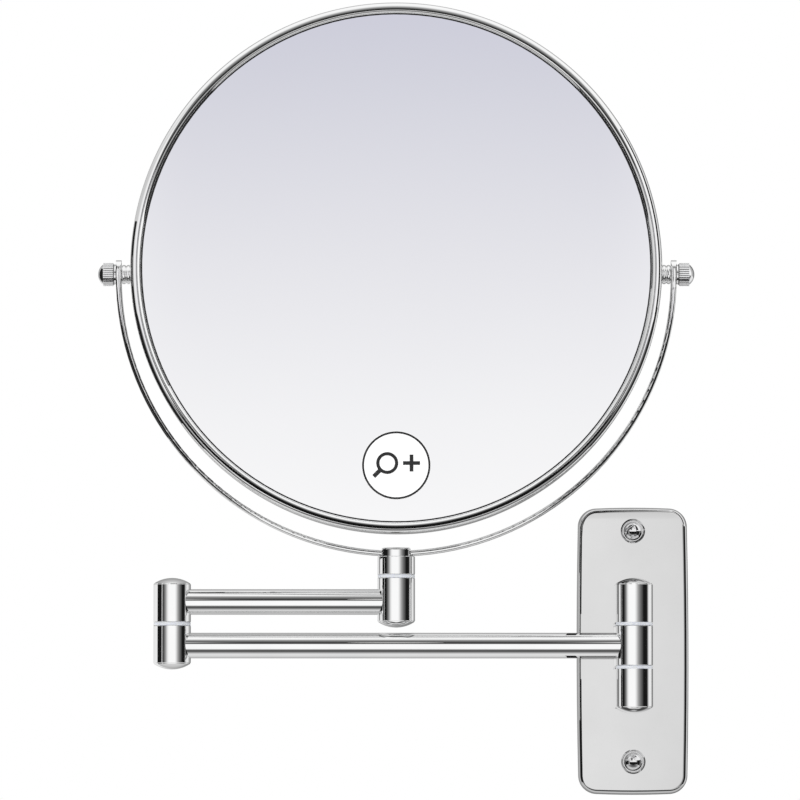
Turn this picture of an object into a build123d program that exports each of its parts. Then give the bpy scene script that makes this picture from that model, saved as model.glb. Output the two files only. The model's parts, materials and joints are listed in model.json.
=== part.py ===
from build123d import *
import math
import os

# Wall-mounted shaving mirror on a two-piece folding arm. Millimetres, +Z up.
# The wall is the plane Y = 0 and the user stands on the -Y side. The origin is the point of
# the wall behind the middle of the wall hinge, halfway between the two wall screws. The arm is
# folded flat: the long arm runs to -X at Z = 0, and the short arm comes back above it and
# carries the yoke and the two-sided round mirror.

# ---- wall plate ----
PLATE_WIDTH = 43.6
PLATE_HEIGHT = 114.0
PLATE_DROP = 1.8           # the outline's centre lies this far below the hinge and the screws' middle
PLATE_BOW = 0.7            # how far each side of the outline swells outwards at its middle
PLATE_DEPTH = 7.0
PLATE_CORNER_R = 7.5
PLATE_DRAFT = 5.0          # degrees that the side walls lean in towards the face
PLATE_EDGE_R = 1.7
SHEET = 1.2
WALL_SCREW_SPACING = 92.5

# ---- hinges: three vertical axes in one plane ----
HINGE_STANDOFF = 13.5      # plate face to hinge axis
AXIS_Y = -(PLATE_DEPTH + HINGE_STANDOFF)
LONG_ARM = 184.5           # wall hinge to elbow
SHORT_ARM = 89.5           # elbow to head pivot
ELBOW_X = -LONG_ARM
HEAD_X = ELBOW_X + SHORT_ARM
SLEEVE_R = 7.5
SLEEVE_CHAMFER = 0.25
WALL_KNUCKLE_HALF = 8.0    # half height of the long arm's knuckle at the wall
KNUCKLE_HEIGHT = 15.3
WASHER = 1.3               # nylon washer between two knuckles
FACE_GAP = 0.05            # play between a nylon washer and the face that turns on it
PIN_R = 2.5
RUNNING = 0.05             # radial running clearance round a pin
BORE_R = PIN_R + RUNNING
RECESS_R = 5.5             # counterbore at a sleeve's end, for the nut or bolt head
RECESS_DEPTH = 7.5
BOLT_HEAD_R = 4.6
BOLT_HEAD = 2.8
NUT_CORNER_R = 4.6
NUT_HEIGHT = 4.0
SPRING_HEIGHT = 1.0        # conical spring washer
CAP_DOME = 2.4
CAP_PLUG = 2.0

TUBE_R = 5.1
TUBE_WALL = 1.0

EAR_LOW = WALL_KNUCKLE_HALF + WASHER        # 9.3
EAR_HIGH = EAR_LOW + KNUCKLE_HEIGHT         # 24.6
SPINE = 5.0
SHORT_ARM_Z = 17.4
HEAD_KNUCKLE_LOW = 9.6
HEAD_KNUCKLE_HIGH = 27.0

# ---- yoke ----
SOCKET_LOW = HEAD_KNUCKLE_HIGH + WASHER
BOW_OUTER_R = 112.2
BOW_THICKNESS = 2.2
BOW_WIDTH = 7.4
BOW_EDGE_R = 1.05
BOW_BOTTOM_Z = 35.6
BOW_MIDDLE_R = BOW_OUTER_R - BOW_THICKNESS / 2
BOW_INNER_R = BOW_OUTER_R - BOW_THICKNESS
BOW_CENTRE_Z = BOW_BOTTOM_Z + BOW_OUTER_R
PIVOT_Z = BOW_CENTRE_Z + 0.7
NECK_R = 6.9
NECK_TOP = 39.0
NECK_EDGE_R = 0.8
BOW_END_RISE = 2.0         # the bow's ends run straight up past the pivots, then are rounded off
BOW_SCREW_R = 1.6
BOW_SCREW_HEAD_R = 2.9

# ---- mirror head ----
PIVOT_DROP = 2.4           # the side pivots sit this far below the mirror's centre
RING_Z = PIVOT_Z + PIVOT_DROP
RIM_OUTER_R = 106.25
RIM_HALF_DEPTH = 9.0
BEAD_R = 2.25
RIM_WALL = 1.25
LIP_Y = 7.4                # inner face of each bezel's lip, from the mid plane
GASKET = 0.4
GASKET_INNER_R = 101.45
GLASS_R = 104.2
GLASS_THICKNESS = 2.0
GLASS_SAG = 8.6            # depth of the concave face below its own rim
BOARD = 1.0
BOARD_R = 103.5
SPACER_INNER_R = 101.8
SPACER_FRONT_Y = -4.4
BAND_THICKNESS = 0.7
BAND_HALF_WIDTH = 4.8
MARK_R = 13.8
MARK_DROP = 79.0
MARK_THICKNESS = 0.12

# ---- side pivots and knobs ----
STUD_R = 2.0
STUD_BORE_R = STUD_R + RUNNING
BOSS_R = 2.8
BOSS_INNER_X = 97.5
SPACER_R = 3.85
KNOB_WASHER = 0.55
KNOB_R = 4.6
KNOB_TEETH = 36
KNURL_DEPTH = 0.45
KNURL_LENGTH = 4.0
KNOB_DOME = 2.1
ACROSS = 125.0             # farther out than anything on the head


def finish(piece, label):
    """Name one finished piece and write it."""
    piece.label = label
    export_step(piece, f"parts/{label}.step")


def at_height(x, z):
    """A level plane whose origin is on a hinge axis."""
    return Plane(origin=(x, AXIS_Y, z), x_dir=(1, 0, 0), z_dir=(0, 0, 1))


def upright(x, z, up=1):
    """An upright plane through a hinge axis: local X is the radius and local Y is up, or down."""
    return Plane(origin=(x, AXIS_Y, z), x_dir=(1, 0, 0), z_dir=(0, -up, 0))


def dome_middle(base_r, rise):
    """Halfway point of a spherical dome's profile: its radius, and how far it lies below the apex."""
    sphere_r = (base_r**2 + rise**2) / (2 * rise)
    half_angle = math.asin(base_r / sphere_r) / 2
    return sphere_r * math.sin(half_angle), sphere_r * (1 - math.cos(half_angle))


def hinge_axis(x):
    return Axis((x, AXIS_Y, 0), (0, 0, 1))


def pivot_plane(side):
    """Level plane through the tilt axis: local X runs outwards on one side, local Y is the radius."""
    return Plane(origin=(HEAD_X, AXIS_Y, PIVOT_Z), x_dir=(side, 0, 0), z_dir=(0, 0, side))


def across_plane(z):
    """An upright plane to the left of the whole head, facing along X: local X is Y and local Y is up."""
    return Plane(origin=(HEAD_X - ACROSS, AXIS_Y, z), x_dir=(0, 1, 0), z_dir=(1, 0, 0))


RING_CENTRE = (HEAD_X, AXIS_Y, RING_Z)
RING_PLANE = Plane(origin=RING_CENTRE, x_dir=(1, 0, 0), z_dir=(0, 0, 1))
RING_AXIS = Axis(RING_CENTRE, (0, 1, 0))
TILT_AXIS = Axis((HEAD_X, AXIS_Y, PIVOT_Z), (1, 0, 0))


def make_knuckle(label, x, low, high, recess_low=0.0, recess_high=0.0):
    """A hinge sleeve with a pin bore and, where asked, a counterbore at an end."""
    with BuildPart() as knuckle:
        with BuildSketch(at_height(x, low)):
            Circle(SLEEVE_R)
        extrude(amount=high - low)
        chamfer(knuckle.edges().filter_by(GeomType.CIRCLE), SLEEVE_CHAMFER)
        with BuildSketch(at_height(x, low)):
            Circle(BORE_R)
        extrude(amount=high - low, mode=Mode.SUBTRACT)
        if recess_low:
            with BuildSketch(at_height(x, low)):
                Circle(RECESS_R)
            extrude(amount=recess_low, mode=Mode.SUBTRACT)
        if recess_high:
            with BuildSketch(at_height(x, high)):
                Circle(RECESS_R)
            extrude(amount=-recess_high, mode=Mode.SUBTRACT)
    finish(knuckle.part, label)


def make_tube(label, x_from, x_to, z):
    """An arm tube, coped at both ends to sit against the two sleeves."""
    with BuildPart() as tube:
        with BuildSketch(Plane(origin=(x_from, AXIS_Y, z), x_dir=(0, 1, 0), z_dir=(1, 0, 0))):
            Circle(TUBE_R)
            Circle(TUBE_R - TUBE_WALL, mode=Mode.SUBTRACT)
        extrude(amount=x_to - x_from)
        with BuildSketch(Plane.XY.offset(z - 2 * TUBE_R)):
            with Locations((x_from, AXIS_Y), (x_to, AXIS_Y)):
                Circle(SLEEVE_R)
        extrude(amount=4 * TUBE_R, mode=Mode.SUBTRACT)
    finish(tube.part, label)


def make_washer(label, x, low):
    """A nylon washer between two knuckles."""
    with BuildPart() as washer:
        with BuildSketch(at_height(x, low)):
            Circle(SLEEVE_R - 0.1)
            Circle(BORE_R, mode=Mode.SUBTRACT)
        extrude(amount=WASHER - FACE_GAP)
    finish(washer.part, label)


def make_cap(label, x, shoulder, up):
    """A domed end cap whose plug fills the mouth of the sleeve's counterbore."""
    base_r = SLEEVE_R - SLEEVE_CHAMFER
    plug_r = RECESS_R - RUNNING
    edge = 0.2
    middle_r, drop = dome_middle(base_r, CAP_DOME - edge)
    with BuildPart() as cap:
        with BuildSketch(upright(x, shoulder, up)):
            with BuildLine():
                ThreePointArc((0, CAP_DOME), (middle_r, CAP_DOME - drop), (base_r, edge))
                Polyline((base_r, edge), (base_r, 0), (plug_r, 0), (plug_r, -CAP_PLUG), (0, -CAP_PLUG))
                Line((0, -CAP_PLUG), (0, CAP_DOME))
            make_face()
        revolve(axis=hinge_axis(x))
    finish(cap.part, label)


def make_bolt(label, x, head_face, tip, hex_key=1.5):
    """A bolt pushed up from below: its head lies under head_face and its shank ends at tip."""
    with BuildPart() as bolt:
        with BuildSketch(at_height(x, head_face)):
            Circle(PIN_R)
        extrude(amount=tip - head_face)
        chamfer(bolt.edges().group_by(Axis.Z)[-1], 0.4)
        with BuildSketch(at_height(x, head_face)):
            Circle(BOLT_HEAD_R)
        extrude(amount=-BOLT_HEAD)
        chamfer(bolt.edges().group_by(Axis.Z)[0], 0.3)
        with BuildSketch(at_height(x, head_face - BOLT_HEAD)):
            RegularPolygon(hex_key, 6)
        extrude(amount=1.6, mode=Mode.SUBTRACT)
    finish(bolt.part, label)


def make_spring(label, x, seat, up):
    """A conical spring washer that stands on its outer edge."""
    leaf = 0.5
    with BuildPart() as spring:
        with BuildSketch(upright(x, seat, up)):
            Polygon(
                (BORE_R + 0.1, SPRING_HEIGHT - leaf),
                (BOLT_HEAD_R + 0.3, 0),
                (BOLT_HEAD_R + 0.3, leaf),
                (BORE_R + 0.1, SPRING_HEIGHT),
                align=None,
            )
        revolve(axis=hinge_axis(x))
    finish(spring.part, label)


def make_nut(label, x, low):
    """A hexagonal lock nut."""
    with BuildPart() as nut:
        with BuildSketch(at_height(x, low)):
            RegularPolygon(NUT_CORNER_R, 6)
            Circle(PIN_R + 0.03, mode=Mode.SUBTRACT)
        extrude(amount=NUT_HEIGHT)
    finish(nut.part, label)


# ==== wall mount: everything that stays on the wall ====

half_w = PLATE_WIDTH / 2
half_h = PLATE_HEIGHT / 2
screw_spots = [(0, WALL_SCREW_SPACING / 2), (0, -WALL_SCREW_SPACING / 2)]
bracket_screw_spots = [(0, 13.0), (0, -13.0)]
FACE = Plane.XZ.offset(PLATE_DEPTH)       # local Z points out of the wall, to -Y
INNER_FACE = Plane.XZ.offset(PLATE_DEPTH - SHEET)
DIMPLE_DEPTH = 1.0
DIMPLE_R = 4.9
DIMPLE_FLOOR_R = 4.0

with BuildPart() as wall_plate:
    with BuildSketch(Plane.XZ.shift_origin((0, 0, -PLATE_DROP))):
        with BuildLine():
            ThreePointArc((-half_w, half_h), (0, half_h + PLATE_BOW), (half_w, half_h))
            ThreePointArc((half_w, half_h), (half_w + PLATE_BOW, 0), (half_w, -half_h))
            ThreePointArc((half_w, -half_h), (0, -half_h - PLATE_BOW), (-half_w, -half_h))
            ThreePointArc((-half_w, -half_h), (-half_w - PLATE_BOW, 0), (-half_w, half_h))
        plate_outline = make_face()
        fillet(plate_outline.vertices(), PLATE_CORNER_R)
    extrude(amount=PLATE_DEPTH, taper=PLATE_DRAFT)
    fillet(wall_plate.faces().sort_by(Axis.Y)[0].edges(), PLATE_EDGE_R)
    offset(amount=-SHEET, openings=wall_plate.faces().sort_by(Axis.Y)[-1], kind=Kind.INTERSECTION)
    # pressed cups round the wall screws
    with BuildSketch(INNER_FACE):
        with Locations(*screw_spots):
            Circle(DIMPLE_R + SHEET)
    extrude(amount=-DIMPLE_DEPTH)
    for spot in screw_spots:
        with BuildSketch(FACE) as cup_mouth:
            with Locations(spot):
                Circle(DIMPLE_R)
        with BuildSketch(FACE.offset(-DIMPLE_DEPTH)) as cup_floor:
            with Locations(spot):
                Circle(DIMPLE_FLOOR_R)
        loft(mode=Mode.SUBTRACT)
    with BuildSketch(FACE):
        with Locations(*screw_spots):
            Circle(2.6)
        with Locations(*bracket_screw_spots):
            Circle(2.1)
    extrude(amount=-PLATE_DEPTH + 1, mode=Mode.SUBTRACT)
finish(wall_plate.part, "wall_plate")

WALL_SCREW_SHANK_R = 2.3
WALL_SCREW_THREAD_R = 2.0
WALL_SCREW_TIP_Y = 20.0
SCREW_HEAD_R = 3.8
SCREW_HEAD_EDGE = 0.4
SCREW_SLOT = 2.6           # cross recess: length and width of each slot
SCREW_SLOT_WIDTH = 0.6
SCREW_HEAD_HEIGHT = 3.1
head_seat_y = -(PLATE_DEPTH - DIMPLE_DEPTH)
head_top_y = head_seat_y - SCREW_HEAD_HEIGHT
middle_r, drop = dome_middle(SCREW_HEAD_R, SCREW_HEAD_HEIGHT - SCREW_HEAD_EDGE)

with BuildPart() as one_wall_screw:
    with BuildSketch(Plane.XY):
        with BuildLine():
            Polyline(
                (0, WALL_SCREW_TIP_Y),
                (WALL_SCREW_THREAD_R, WALL_SCREW_TIP_Y - 4),
                (WALL_SCREW_THREAD_R, -3),
                (WALL_SCREW_SHANK_R, -3),
                (WALL_SCREW_SHANK_R, head_seat_y),
                (SCREW_HEAD_R, head_seat_y),
                (SCREW_HEAD_R, head_seat_y - SCREW_HEAD_EDGE),
            )
            ThreePointArc(
                (SCREW_HEAD_R, head_seat_y - SCREW_HEAD_EDGE),
                (middle_r, head_top_y + drop),
                (0, head_top_y),
            )
            Line((0, head_top_y), (0, WALL_SCREW_TIP_Y))
        make_face()
    revolve(axis=Axis.Y)
    with BuildSketch(Plane.XZ.offset(-head_top_y)):
        Rectangle(SCREW_SLOT, SCREW_SLOT_WIDTH)
        Rectangle(SCREW_SLOT_WIDTH, SCREW_SLOT)
    extrude(amount=-1.5, mode=Mode.SUBTRACT)

with BuildPart() as wall_screws:
    with Locations(*[(x, 0, z) for x, z in screw_spots]):
        add(one_wall_screw.part)
finish(wall_screws.part, "wall_screws")

with BuildPart() as hinge_bracket:
    with BuildSketch(Plane.XY.offset(-EAR_HIGH)):
        with Locations((0, AXIS_Y)):
            Circle(SLEEVE_R)
        with Locations((0, AXIS_Y + HINGE_STANDOFF / 2)):
            Rectangle(2 * SLEEVE_R, HINGE_STANDOFF)
    extrude(amount=2 * EAR_HIGH)
    ends = hinge_bracket.edges().group_by(Axis.Z)
    chamfer(ends[0] + ends[-1], SLEEVE_CHAMFER)
    # the window that the long arm's knuckle turns in, with rounded inner corners
    with BuildSketch(Plane.YZ.offset(-2 * SLEEVE_R)):
        with Locations((-PLATE_DEPTH - SPINE - 20, 0)):
            RectangleRounded(40, 2 * EAR_LOW, 0.8)
    extrude(amount=4 * SLEEVE_R, mode=Mode.SUBTRACT)
    with BuildSketch(at_height(0, -EAR_HIGH)):
        Circle(BORE_R)
    extrude(amount=2 * EAR_HIGH, mode=Mode.SUBTRACT)
    with BuildSketch(at_height(0, EAR_HIGH), at_height(0, -EAR_HIGH + RECESS_DEPTH)):
        Circle(RECESS_R)
    extrude(amount=-RECESS_DEPTH, mode=Mode.SUBTRACT)
    with BuildSketch(FACE):
        with Locations(*bracket_screw_spots):
            Circle(2.0)
    extrude(amount=5.5, mode=Mode.SUBTRACT)
finish(hinge_bracket.part, "hinge_bracket")

with BuildPart() as bracket_screws:
    with BuildSketch(INNER_FACE):
        with Locations(*bracket_screw_spots):
            Circle(3.5)
    extrude(amount=-2.3)
    with BuildSketch(INNER_FACE):
        with Locations(*bracket_screw_spots):
            Circle(1.95)
    extrude(amount=6.2)
    with BuildSketch(INNER_FACE.offset(-2.3)):
        with Locations(*bracket_screw_spots):
            RegularPolygon(1.5, 6)
    extrude(amount=1.4, mode=Mode.SUBTRACT)
finish(bracket_screws.part, "bracket_screws")

make_bolt("wall_hinge_bolt", 0, -EAR_HIGH + RECESS_DEPTH, EAR_HIGH - CAP_PLUG - 0.5)
make_spring("wall_spring_washer", 0, EAR_HIGH - RECESS_DEPTH, 1)
make_nut("wall_hinge_nut", 0, EAR_HIGH - RECESS_DEPTH + SPRING_HEIGHT)
make_cap("wall_cap_top", 0, EAR_HIGH, 1)
make_cap("wall_cap_bottom", 0, -EAR_HIGH, -1)
make_washer("wall_washer_upper", 0, WALL_KNUCKLE_HALF + FACE_GAP)
make_washer("wall_washer_lower", 0, -EAR_LOW)

# ==== long arm ====

ELBOW_LOW = -7.1
elbow_recess = 5.2

make_tube("long_arm_tube", ELBOW_X, 0, 0)
make_knuckle("wall_knuckle", 0, -WALL_KNUCKLE_HALF, WALL_KNUCKLE_HALF)
make_knuckle("elbow_lower_knuckle", ELBOW_X, ELBOW_LOW, WALL_KNUCKLE_HALF, recess_low=elbow_recess)
make_bolt("elbow_bolt", ELBOW_X, ELBOW_LOW + elbow_recess, EAR_HIGH - CAP_PLUG - 0.5)
make_spring("elbow_spring_washer", ELBOW_X, EAR_HIGH - RECESS_DEPTH + FACE_GAP, 1)
make_nut("elbow_nut", ELBOW_X, EAR_HIGH - RECESS_DEPTH + FACE_GAP + SPRING_HEIGHT)
make_cap("elbow_cap_bottom", ELBOW_X, ELBOW_LOW, -1)
make_washer("elbow_washer", ELBOW_X, WALL_KNUCKLE_HALF)

# ==== short arm ====

head_recess = 6.4

make_tube("short_arm_tube", ELBOW_X, HEAD_X, SHORT_ARM_Z)
make_knuckle("elbow_upper_knuckle", ELBOW_X, EAR_LOW, EAR_HIGH, recess_high=RECESS_DEPTH)
make_knuckle("head_knuckle", HEAD_X, HEAD_KNUCKLE_LOW, HEAD_KNUCKLE_HIGH, recess_low=head_recess)
make_cap("elbow_cap_top", ELBOW_X, EAR_HIGH, 1)
make_cap("head_cap_bottom", HEAD_X, HEAD_KNUCKLE_LOW, -1)
make_washer("head_washer", HEAD_X, HEAD_KNUCKLE_HIGH)

# ==== yoke ====

HEAD_SPRING_SEAT = HEAD_KNUCKLE_LOW + head_recess - FACE_GAP
HEAD_BOLT_TIP = 31.9

make_spring("head_spring_washer", HEAD_X, HEAD_SPRING_SEAT, -1)
make_bolt("head_bolt", HEAD_X, HEAD_SPRING_SEAT - SPRING_HEIGHT, HEAD_BOLT_TIP)

with BuildPart() as yoke_socket:
    with BuildSketch(at_height(HEAD_X, SOCKET_LOW)):
        Circle(SLEEVE_R)
    extrude(amount=BOW_BOTTOM_Z - SOCKET_LOW)
    chamfer(yoke_socket.edges().filter_by(GeomType.CIRCLE), SLEEVE_CHAMFER)
    with BuildSketch(at_height(HEAD_X, BOW_BOTTOM_Z)):
        Circle(NECK_R)
    extrude(amount=NECK_TOP - BOW_BOTTOM_Z)
    fillet(yoke_socket.edges().group_by(Axis.Z)[-1], NECK_EDGE_R)
    # the open slot that the bow lies in
    with BuildSketch(at_height(HEAD_X, BOW_BOTTOM_Z)):
        Rectangle(4 * NECK_R, BOW_WIDTH + 0.1)
    extrude(amount=2 * NECK_R, mode=Mode.SUBTRACT)
    with BuildSketch(at_height(HEAD_X, SOCKET_LOW)):
        Circle(BORE_R)
    extrude(amount=HEAD_BOLT_TIP - SOCKET_LOW + 0.1, mode=Mode.SUBTRACT)
    with BuildSketch(at_height(HEAD_X, BOW_BOTTOM_Z)):
        Circle(BOW_SCREW_R + 0.03)
    extrude(amount=-2.9, mode=Mode.SUBTRACT)
finish(yoke_socket.part, "yoke_socket")

with BuildPart() as yoke_bow:
    with BuildSketch(Plane(origin=(HEAD_X, AXIS_Y, BOW_CENTRE_Z))):
        with Locations((BOW_MIDDLE_R, 0)):
            RectangleRounded(BOW_THICKNESS, BOW_WIDTH, BOW_EDGE_R)
    revolve(axis=Axis((HEAD_X, AXIS_Y, BOW_CENTRE_Z), (0, 1, 0)), revolution_arc=180)
    with BuildSketch(Plane(origin=(HEAD_X, AXIS_Y, BOW_CENTRE_Z))):
        with Locations((BOW_MIDDLE_R, 0), (-BOW_MIDDLE_R, 0)):
            RectangleRounded(BOW_THICKNESS, BOW_WIDTH, BOW_EDGE_R)
    extrude(amount=PIVOT_Z - BOW_CENTRE_Z + BOW_END_RISE + BOW_WIDTH / 2)
    # both ends rounded off about a level axis
    with BuildSketch(across_plane(PIVOT_Z + BOW_END_RISE)):
        with Locations((0, BOW_WIDTH)):
            Rectangle(2 * BOW_WIDTH, 2 * BOW_WIDTH)
        Circle(BOW_WIDTH / 2, mode=Mode.SUBTRACT)
    extrude(amount=2 * ACROSS, mode=Mode.SUBTRACT)
    with BuildSketch(across_plane(PIVOT_Z)):
        Circle(STUD_R + 0.06)
    extrude(amount=2 * ACROSS, mode=Mode.SUBTRACT)
    # countersunk hole for the bow screw
    with BuildSketch(upright(HEAD_X, BOW_BOTTOM_Z)):
        Polygon(
            (0, -1),
            (BOW_SCREW_R + 0.05, -1),
            (BOW_SCREW_R + 0.05, 0.25),
            (BOW_SCREW_HEAD_R + 0.05, BOW_THICKNESS),
            (BOW_SCREW_HEAD_R + 0.05, BOW_THICKNESS + 1),
            (0, BOW_THICKNESS + 1),
            align=None,
        )
    revolve(axis=hinge_axis(HEAD_X), mode=Mode.SUBTRACT)
finish(yoke_bow.part, "yoke_bow")

with BuildPart() as bow_screw:
    with BuildSketch(upright(HEAD_X, BOW_BOTTOM_Z)):
        Polygon(
            (0, -2.6),
            (BOW_SCREW_R, -2.6),
            (BOW_SCREW_R, 0.25),
            (BOW_SCREW_HEAD_R, BOW_THICKNESS),
            (0, BOW_THICKNESS),
            align=None,
        )
    revolve(axis=hinge_axis(HEAD_X))
    with BuildSketch(at_height(HEAD_X, BOW_BOTTOM_Z + BOW_THICKNESS)):
        RegularPolygon(1.2, 6)
    extrude(amount=-1.0, mode=Mode.SUBTRACT)
finish(bow_screw.part, "bow_screw")

# ==== mirror head ====

def turned_about_centre(label, outline, boss_holes=False):
    """A round piece of the head, turned from an outline of (radius, Y from the mid plane) points."""
    with BuildPart() as ring:
        with BuildSketch(RING_PLANE):
            Polygon(*outline, align=None)
        revolve(axis=RING_AXIS)
        if boss_holes:
            with BuildSketch(across_plane(PIVOT_Z)):
                Circle(BOSS_R + RUNNING)
            extrude(amount=2 * ACROSS, mode=Mode.SUBTRACT)
    finish(ring.part, label)


rim_inner_r = RIM_OUTER_R - RIM_WALL
bead_centre_r = RIM_OUTER_R - BEAD_R
bead_centre_y = RIM_HALF_DEPTH - BEAD_R
lip_r = bead_centre_r - math.sqrt(BEAD_R**2 - (LIP_Y - bead_centre_y) ** 2)
SEAM = 0.15

for label, face in (("front_bezel", -1), ("rear_bezel", 1)):
    with BuildPart() as bezel:
        with BuildSketch(RING_PLANE):
            with BuildLine():
                ThreePointArc(
                    (lip_r, face * LIP_Y),
                    (bead_centre_r, face * RIM_HALF_DEPTH),
                    (RIM_OUTER_R, face * bead_centre_y),
                )
                Polyline(
                    (RIM_OUTER_R, face * bead_centre_y),
                    (RIM_OUTER_R, face * SEAM),
                    (RIM_OUTER_R - SEAM, 0),
                    (rim_inner_r, 0),
                    (rim_inner_r, face * LIP_Y),
                    (lip_r, face * LIP_Y),
                )
            make_face()
        revolve(axis=RING_AXIS)
        with BuildSketch(across_plane(PIVOT_Z)):
            Circle(BOSS_R + RUNNING)
        extrude(amount=2 * ACROSS, mode=Mode.SUBTRACT)
    finish(bezel.part, label)

glass_face = LIP_Y - GASKET
glass_back = glass_face - GLASS_THICKNESS
board_back = glass_back - BOARD

turned_about_centre(
    "rim_band",
    [
        (rim_inner_r - BAND_THICKNESS, -BAND_HALF_WIDTH),
        (rim_inner_r, -BAND_HALF_WIDTH),
        (rim_inner_r, BAND_HALF_WIDTH),
        (rim_inner_r - BAND_THICKNESS, BAND_HALF_WIDTH),
    ],
    boss_holes=True,
)
spacer_outer_r = rim_inner_r - BAND_THICKNESS - 0.05
turned_about_centre(
    "glass_spacer",
    [
        (SPACER_INNER_R, SPACER_FRONT_Y),
        (spacer_outer_r, SPACER_FRONT_Y),
        (spacer_outer_r, board_back),
        (SPACER_INNER_R, board_back),
    ],
    boss_holes=True,
)
for label, face in (("front_gasket", -1), ("rear_gasket", 1)):
    turned_about_centre(
        label,
        [
            (GASKET_INNER_R, face * glass_face),
            (GLASS_R, face * glass_face),
            (GLASS_R, face * LIP_Y),
            (GASKET_INNER_R, face * LIP_Y),
        ],
    )
turned_about_centre(
    "flat_glass", [(0, glass_back), (GLASS_R, glass_back), (GLASS_R, glass_face), (0, glass_face)]
)
turned_about_centre(
    "backing_board",
    [(0, board_back), (BOARD_R, board_back), (BOARD_R, glass_back), (0, glass_back)],
)


dish_middle_r, dish_drop = dome_middle(GLASS_R, GLASS_SAG)


def dish_profile(lift, thickness):
    """Closed profile of a shell that follows the concave face, from lift to lift + thickness behind it."""
    corners = []
    for offset_y in (lift, lift + thickness):
        corners.append(
            (
                (0, GLASS_SAG - glass_face + offset_y),
                (dish_middle_r, GLASS_SAG - glass_face - dish_drop + offset_y),
                (GLASS_R, -glass_face + offset_y),
            )
        )
    front, back = corners
    ThreePointArc(*front)
    Line(front[2], back[2])
    ThreePointArc(back[2], back[1], back[0])
    Line(back[0], front[0])


with BuildPart() as magnifying_glass:
    with BuildSketch(RING_PLANE):
        with BuildLine():
            dish_profile(0, GLASS_THICKNESS)
        make_face()
    revolve(axis=RING_AXIS)
finish(magnifying_glass.part, "magnifying_glass")

# a thin round sticker that lies on the concave face
with BuildPart() as face_mark:
    with BuildSketch(RING_PLANE):
        with BuildLine():
            dish_profile(-MARK_THICKNESS, MARK_THICKNESS)
        make_face()
    revolve(axis=RING_AXIS)
    with BuildSketch(Plane.XZ.offset(-AXIS_Y - 10)):
        with Locations((HEAD_X, RING_Z - MARK_DROP)):
            Circle(MARK_R)
    extrude(amount=20, mode=Mode.INTERSECT)
finish(face_mark.part, "face_mark")

# ==== side pivots and knobs, one of each on both sides ====

SPACER_START = 106.3
SPACER_END = BOW_INNER_R - 0.1
bead_span = (SPACER_END - SPACER_START) / 2
KNOB_START = BOW_OUTER_R + FACE_GAP + KNOB_WASHER + FACE_GAP
knurl_start = KNOB_START + 0.4
knurl_end = knurl_start + KNURL_LENGTH
knob_end = knurl_end + KNOB_DOME
groove_r = KNOB_R - KNURL_DEPTH
dome_r = KNOB_R - 0.5
knob_middle_r, knob_drop = dome_middle(dome_r, KNOB_DOME)

for name, side in (("left", -1), ("right", 1)):
    with BuildPart() as boss:
        with BuildSketch(pivot_plane(side)):
            with BuildLine():
                Polyline(
                    (BOSS_INNER_X, STUD_BORE_R),
                    (BOSS_INNER_X, BOSS_R),
                    (SPACER_START, BOSS_R),
                    (SPACER_START, SPACER_R - 0.6),
                )
                for bead in range(2):
                    start = SPACER_START + bead * bead_span
                    ThreePointArc(
                        (start, SPACER_R - 0.6),
                        (start + bead_span / 2, SPACER_R),
                        (start + bead_span, SPACER_R - 0.6),
                    )
                Polyline(
                    (SPACER_END, SPACER_R - 0.6), (SPACER_END, STUD_BORE_R), (BOSS_INNER_X, STUD_BORE_R)
                )
            make_face()
        revolve(axis=TILT_AXIS)
    finish(boss.part, f"{name}_pivot_boss")

    with BuildPart() as friction_washer:
        with BuildSketch(pivot_plane(side)):
            washer_start = BOW_OUTER_R + FACE_GAP
            Polygon(
                (washer_start, STUD_R + 0.06),
                (washer_start, 3.9),
                (washer_start + KNOB_WASHER, 3.9),
                (washer_start + KNOB_WASHER, STUD_R + 0.06),
                align=None,
            )
        revolve(axis=TILT_AXIS)
    finish(friction_washer.part, f"{name}_friction_washer")

    with BuildPart() as knob:
        with BuildSketch(pivot_plane(side)):
            with BuildLine():
                Polyline(
                    (BOSS_INNER_X + 2, 0),
                    (BOSS_INNER_X + 2, STUD_R),
                    (KNOB_START, STUD_R),
                    (KNOB_START, dome_r),
                    (knurl_end, dome_r),
                )
                ThreePointArc((knurl_end, dome_r), (knob_end - knob_drop, knob_middle_r), (knob_end, 0))
                Line((knob_end, 0), (BOSS_INNER_X + 2, 0))
            make_face()
        revolve(axis=TILT_AXIS)
        with BuildSketch(
            Plane(
                origin=(HEAD_X + side * knurl_start, AXIS_Y, PIVOT_Z),
                x_dir=(0, 1, 0),
                z_dir=(side, 0, 0),
            )
        ):
            knurl = []
            for tooth in range(KNOB_TEETH):
                # each tooth has a flat crest, and a narrow groove follows it
                for share, corner_r in ((0.0, KNOB_R), (0.55, KNOB_R), (0.72, groove_r), (0.83, groove_r)):
                    angle = 2 * math.pi * (tooth + share) / KNOB_TEETH
                    knurl.append((corner_r * math.cos(angle), corner_r * math.sin(angle)))
            Polygon(*knurl, align=None)
        extrude(amount=KNURL_LENGTH)
    finish(knob.part, f"{name}_knob")
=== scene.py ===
import json
import math

import bmesh
import bpy
from mathutils import Matrix, Vector


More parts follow.
